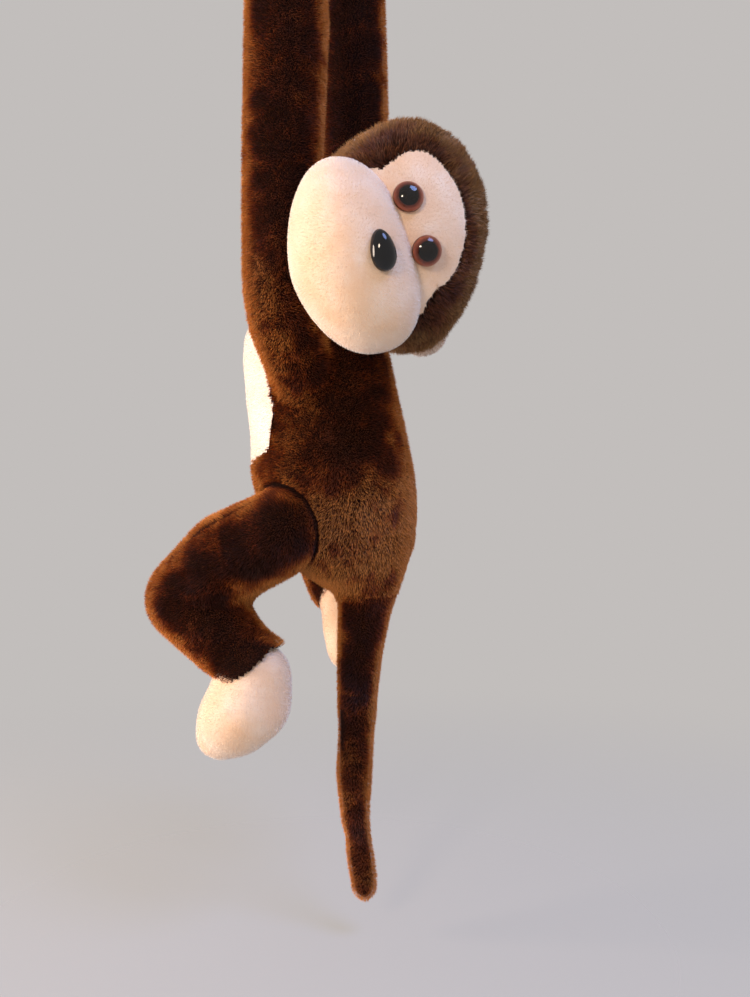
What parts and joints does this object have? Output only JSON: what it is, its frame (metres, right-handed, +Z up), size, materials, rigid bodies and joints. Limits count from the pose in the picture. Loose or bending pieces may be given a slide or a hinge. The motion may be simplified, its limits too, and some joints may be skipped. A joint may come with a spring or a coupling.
{
  "type": "hanging plush monkey",
  "caption": "Plush monkey with long raised arms whose hook-and-loop palms close over a rail, a turned round head with a wide muzzle, bent legs and a hanging tail.",
  "frame": {"origin": "middle of the rail that the joined hands hang from, between the two wrists", "axes": "-Y the way the chest faces, +X the toy's own left, +Z up along the raised arms"},
  "size_m": [0.2001, 0.1682, 0.569],
  "materials": {
    "chocolate_plush": "short dense plush",
    "head_plush": "longer plush",
    "cream_velour": "brushed velour",
    "polyester_fibre": "loose fibre filling",
    "brown_acrylic": "clear, polished",
    "black_plastic": "polished",
    "white_plastic": "moulded",
    "hook_and_loop": "woven tape"
  },
  "bodies": {
    "torso": {"torso_back_skin": "chocolate_plush", "belly_panel": "cream_velour", "torso_stuffing": "polyester_fibre"},
    "head": {"head_hood": "head_plush", "face_patch": "cream_velour", "muzzle_skin": "cream_velour", "head_stuffing": "polyester_fibre", "muzzle_stuffing": "polyester_fibre", "left_ear_front": "cream_velour", "left_ear_back": "head_plush", "right_ear_front": "cream_velour", "right_ear_back": "head_plush", "left_eye_lens": "brown_acrylic", "left_eye_pupil": "black_plastic", "left_eye_washer": "white_plastic", "right_eye_lens": "brown_acrylic", "right_eye_pupil": "black_plastic", "right_eye_washer": "white_plastic", "nose": "black_plastic", "nose_washer": "white_plastic"},
    "left_upper_arm": {"left_upper_arm_skin": "chocolate_plush", "left_upper_arm_stuffing": "polyester_fibre"},
    "left_forearm": {"left_forearm_skin": "chocolate_plush", "left_forearm_stuffing": "polyester_fibre"},
    "left_hand": {"left_hand_skin": "cream_velour", "left_hand_stuffing": "polyester_fibre", "left_hook_patch": "hook_and_loop"},
    "right_upper_arm": {"right_upper_arm_skin": "chocolate_plush", "right_upper_arm_stuffing": "polyester_fibre"},
    "right_forearm": {"right_forearm_skin": "chocolate_plush", "right_forearm_stuffing": "polyester_fibre"},
    "right_hand": {"right_hand_skin": "cream_velour", "right_hand_stuffing": "polyester_fibre", "right_loop_patch": "hook_and_loop"},
    "left_thigh": {"left_thigh_skin": "chocolate_plush", "left_thigh_stuffing": "polyester_fibre"},
    "left_shin": {"left_shin_skin": "chocolate_plush", "left_shin_stuffing": "polyester_fibre"},
    "left_foot": {"left_foot_skin": "cream_velour", "left_foot_stuffing": "polyester_fibre"},
    "right_thigh": {"right_thigh_skin": "chocolate_plush", "right_thigh_stuffing": "polyester_fibre"},
    "right_shin": {"right_shin_skin": "chocolate_plush", "right_shin_stuffing": "polyester_fibre"},
    "right_foot": {"right_foot_skin": "cream_velour", "right_foot_stuffing": "polyester_fibre"},
    "tail_upper": {"tail_upper_skin": "chocolate_plush", "tail_upper_stuffing": "polyester_fibre"},
    "tail_lower": {"tail_lower_skin": "chocolate_plush", "tail_lower_stuffing": "polyester_fibre"}
  },
  "joints": [
    {"name": "neck", "type": "hinge", "parent": "torso", "child": "head", "pos_m": [0.0165, 0.0292, -0.2363], "axis": [0.5041, 0.7608, 0.4088], "range_deg": [-25, 25], "stiffness_Nm_per_rad": 0.1},
    {"name": "left_shoulder", "type": "hinge", "parent": "torso", "child": "left_upper_arm", "pos_m": [0.033, 0, -0.25], "axis": [0, 1, 0], "range_deg": [0, 135], "stiffness_Nm_per_rad": 0.4},
    {"name": "left_elbow", "type": "hinge", "parent": "left_upper_arm", "child": "left_forearm", "pos_m": [0.033, 0, -0.112], "axis": [1, 0, 0], "range_deg": [0, 70], "stiffness_Nm_per_rad": 0.15},
    {"name": "left_wrist", "type": "hinge", "parent": "left_forearm", "child": "left_hand", "pos_m": [0.029, 0, -0.008], "axis": [0, 1, 0], "range_deg": [0, 60], "stiffness_Nm_per_rad": 0.06},
    {"name": "right_shoulder", "type": "hinge", "parent": "torso", "child": "right_upper_arm", "pos_m": [-0.033, 0, -0.25], "axis": [0, -1, 0], "range_deg": [0, 135], "stiffness_Nm_per_rad": 0.4},
    {"name": "right_elbow", "type": "hinge", "parent": "right_upper_arm", "child": "right_forearm", "pos_m": [-0.033, 0, -0.112], "axis": [1, 0, 0], "range_deg": [0, 70], "stiffness_Nm_per_rad": 0.15},
    {"name": "right_wrist", "type": "hinge", "parent": "right_forearm", "child": "right_hand", "pos_m": [-0.029, 0, -0.008], "axis": [0, -1, 0], "range_deg": [0, 60], "stiffness_Nm_per_rad": 0.06},
    {"name": "left_hip", "type": "hinge", "parent": "torso", "child": "left_thigh", "pos_m": [0.036, 0, -0.344], "axis": [1, 0, 0], "range_deg": [-35, 40], "stiffness_Nm_per_rad": 0.3},
    {"name": "left_knee", "type": "hinge", "parent": "left_thigh", "child": "left_shin", "pos_m": [0.036, -0.04928, -0.37699], "axis": [1, 0, 0], "range_deg": [-60, 0], "stiffness_Nm_per_rad": 0.15},
    {"name": "left_ankle", "type": "hinge", "parent": "left_shin", "child": "left_foot", "pos_m": [0.036, -0.01495, -0.40499], "axis": [1, 0, 0], "range_deg": [-20, 20], "stiffness_Nm_per_rad": 0.08},
    {"name": "right_hip", "type": "hinge", "parent": "torso", "child": "right_thigh", "pos_m": [-0.036, 0, -0.344], "axis": [0.6428, -0.766, 0], "range_deg": [-35, 25], "stiffness_Nm_per_rad": 0.3},
    {"name": "right_knee", "type": "hinge", "parent": "right_thigh", "child": "right_shin", "pos_m": [-0.08143, -0.03812, -0.344], "axis": [0.6428, -0.766, 0], "range_deg": [-60, 0], "stiffness_Nm_per_rad": 0.15},
    {"name": "right_ankle", "type": "hinge", "parent": "right_shin", "child": "right_foot", "pos_m": [-0.06549, -0.02475, -0.38311], "axis": [0.6428, -0.766, 0], "range_deg": [-20, 20], "stiffness_Nm_per_rad": 0.08},
    {"name": "tail_root", "type": "hinge", "parent": "torso", "child": "tail_upper", "pos_m": [0, 0.027, -0.362], "axis": [1, 0, 0], "range_deg": [-20, 50], "stiffness_Nm_per_rad": 0.05},
    {"name": "tail_bend", "type": "hinge", "parent": "tail_upper", "child": "tail_lower", "pos_m": [0, 0.02, -0.439], "axis": [1, 0, 0], "range_deg": [-45, 45], "stiffness_Nm_per_rad": 0.03}
  ]
}
